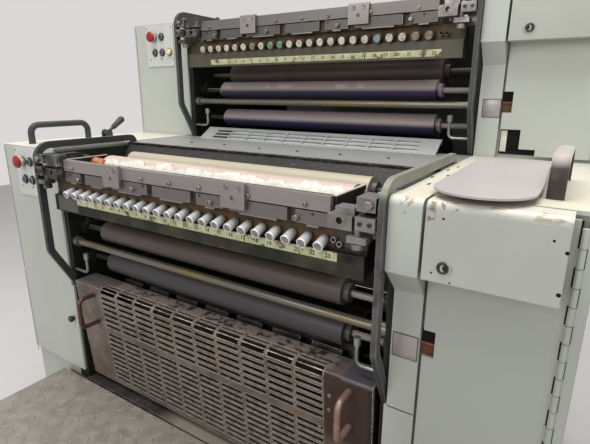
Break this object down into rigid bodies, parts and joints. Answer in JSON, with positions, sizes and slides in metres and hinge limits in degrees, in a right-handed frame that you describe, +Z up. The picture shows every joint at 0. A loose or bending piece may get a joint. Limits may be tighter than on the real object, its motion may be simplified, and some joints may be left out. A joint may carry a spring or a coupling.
{
  "type": "offset printing press",
  "caption": "Sheet-fed offset printing press seen from its inking side: stepped ink units between cabinets, with ink keys, rollers, a slotted guard and a footboard.",
  "frame": {"origin": "centre of the bounding box at floor level", "axes": "+X along the rollers to the operator's right, +Y away from the footboard, +Z up"},
  "size_m": [1.484, 1.542, 1.5323],
  "materials": {
    "cabinet_grey_green": "satin paint, worn",
    "frame_green_black": "oily dark paint",
    "guard_brown_grey": "worn paint",
    "tread_steel": "worn chequered steel",
    "bar_steel": "satin",
    "rod_steel": "bright, yellowed",
    "key_white": "matt",
    "fountain_pink": "inked",
    "transfer_cream": "inked",
    "roller_dark": "satin",
    "cylinder_steel": "satin",
    "tube_dark": "gloss paint, scuffed",
    "copper_tube": "worn",
    "wall_grey": "worn",
    "panel_grey": "satin",
    "lever_black": "satin"
  },
  "bodies": {
    "press": {"base_plinth": "cabinet_grey_green", "sill_plate": "tread_steel", "footboard": "tread_steel", "side_frames": "frame_green_black", "near_left_cabinet": "cabinet_grey_green", "far_left_cabinet": "cabinet_grey_green", "near_right_cabinet": "cabinet_grey_green", "far_right_cabinet": "cabinet_grey_green", "right_columns": "cabinet_grey_green", "hinge_strips": "cabinet_grey_green", "control_panels": "panel_grey", "handrails": "tube_dark", "left_grab_handle": "tube_dark", "lever_brackets": "lever_black", "fan_tray": "wall_grey", "arch_handle": "tube_dark", "top_covers": "wall_grey", "far_step_grille": "guard_brown_grey", "rear_cover": "cabinet_grey_green", "tie_rods": "rod_steel", "ink_ducts": "frame_green_black", "duct_bars": "bar_steel", "ink_keys": "key_white", "duct_mounts": "bar_steel", "roller_sockets": "frame_green_black", "roller_catches": "rod_steel"},
    "guard": {"near_guard": "guard_brown_grey", "near_guard_handles": "copper_tube"},
    "front_door": {"near_right_door": "cabinet_grey_green", "near_door_box": "cabinet_grey_green"},
    "rear_door": {"far_right_door": "cabinet_grey_green", "far_door_box": "cabinet_grey_green"},
    "front_lever": {"near_lever": "lever_black"},
    "rear_lever": {"far_lever": "lever_black"},
    "near_fountain_roller_body": {"near_fountain_roller": "fountain_pink"},
    "near_plate_cylinder_body": {"near_plate_cylinder": "cylinder_steel"},
    "near_transfer_roller_body": {"near_transfer_roller": "transfer_cream"},
    "near_back_roller_body": {"near_back_roller": "roller_dark"},
    "near_upper_roller_body": {"near_upper_roller": "roller_dark"},
    "near_lower_roller_body": {"near_lower_roller": "roller_dark"},
    "far_fountain_roller_body": {"far_fountain_roller": "fountain_pink"},
    "far_plate_cylinder_body": {"far_plate_cylinder": "cylinder_steel"},
    "far_transfer_roller_body": {"far_transfer_roller": "transfer_cream"},
    "far_back_roller_body": {"far_back_roller": "roller_dark"},
    "far_upper_roller_body": {"far_upper_roller": "roller_dark"},
    "far_lower_roller_body": {"far_lower_roller": "roller_dark"}
  },
  "joints": [
    {"name": "near_fountain_roller_turn", "type": "hinge", "parent": "press", "child": "near_fountain_roller_body", "pos_m": [0, -0.239, 1.032], "axis": [1, 0, 0], "continuous": true},
    {"name": "near_plate_cylinder_turn", "type": "hinge", "parent": "press", "child": "near_plate_cylinder_body", "pos_m": [0, -0.157, 0.668], "axis": [1, 0, 0], "continuous": true},
    {"name": "near_transfer_roller_turn", "type": "hinge", "parent": "press", "child": "near_transfer_roller_body", "pos_m": [0, -0.165, 1.048], "axis": [1, 0, 0], "continuous": true},
    {"name": "near_back_roller_turn", "type": "hinge", "parent": "press", "child": "near_back_roller_body", "pos_m": [0, -0.211, 0.918], "axis": [1, 0, 0], "continuous": true},
    {"name": "near_upper_roller_turn", "type": "hinge", "parent": "press", "child": "near_upper_roller_body", "pos_m": [0, -0.269, 0.868], "axis": [1, 0, 0], "continuous": true},
    {"name": "near_lower_roller_turn", "type": "hinge", "parent": "press", "child": "near_lower_roller_body", "pos_m": [0, -0.257, 0.778], "axis": [1, 0, 0], "continuous": true},
    {"name": "far_fountain_roller_turn", "type": "hinge", "parent": "press", "child": "far_fountain_roller_body", "pos_m": [0, 0.267, 1.407], "axis": [1, 0, 0], "continuous": true},
    {"name": "far_plate_cylinder_turn", "type": "hinge", "parent": "press", "child": "far_plate_cylinder_body", "pos_m": [0, 0.349, 1.043], "axis": [1, 0, 0], "continuous": true},
    {"name": "far_transfer_roller_turn", "type": "hinge", "parent": "press", "child": "far_transfer_roller_body", "pos_m": [0, 0.341, 1.423], "axis": [1, 0, 0], "continuous": true},
    {"name": "far_back_roller_turn", "type": "hinge", "parent": "press", "child": "far_back_roller_body", "pos_m": [0, 0.295, 1.293], "axis": [1, 0, 0], "continuous": true},
    {"name": "far_upper_roller_turn", "type": "hinge", "parent": "press", "child": "far_upper_roller_body", "pos_m": [0, 0.237, 1.243], "axis": [1, 0, 0], "continuous": true},
    {"name": "far_lower_roller_turn", "type": "hinge", "parent": "press", "child": "far_lower_roller_body", "pos_m": [0, 0.249, 1.153], "axis": [1, 0, 0], "continuous": true},
    {"name": "guard_swing", "type": "hinge", "parent": "press", "child": "guard", "pos_m": [0, -0.29475, 0.43], "axis": [1, 0, 0], "range_deg": [0, 70]},
    {"name": "front_door_swing", "type": "hinge", "parent": "press", "child": "front_door", "pos_m": [0.723, -0.329, 0.79], "axis": [0, 0, 1], "range_deg": [0, 95]},
    {"name": "rear_door_swing", "type": "hinge", "parent": "press", "child": "rear_door", "pos_m": [0.723, 0.177, 1.265], "axis": [0, 0, 1], "range_deg": [0, 95]},
    {"name": "front_lever_swing", "type": "hinge", "parent": "press", "child": "front_lever", "pos_m": [-0.64, -0.045, 1.105], "axis": [1, 0, 0], "range_deg": [-20, 20]},
    {"name": "rear_lever_swing", "type": "hinge", "parent": "press", "child": "rear_lever", "pos_m": [-0.64, 0.461, 1.48], "axis": [1, 0, 0], "range_deg": [-20, 20]}
  ],
  "couplings": [
    {"joint": "near_transfer_roller_turn", "follows": "near_plate_cylinder_turn", "ratio": -3.8889},
    {"joint": "near_back_roller_turn", "follows": "near_plate_cylinder_turn", "ratio": 2.9167},
    {"joint": "near_upper_roller_turn", "follows": "near_plate_cylinder_turn", "ratio": -3.8889},
    {"joint": "near_lower_roller_turn", "follows": "near_plate_cylinder_turn", "ratio": -3.6207},
    {"joint": "far_transfer_roller_turn", "follows": "far_plate_cylinder_turn", "ratio": -3.8889},
    {"joint": "far_back_roller_turn", "follows": "far_plate_cylinder_turn", "ratio": 2.9167},
    {"joint": "far_upper_roller_turn", "follows": "far_plate_cylinder_turn", "ratio": -3.8889},
    {"joint": "far_lower_roller_turn", "follows": "far_plate_cylinder_turn", "ratio": -3.6207}
  ]
}
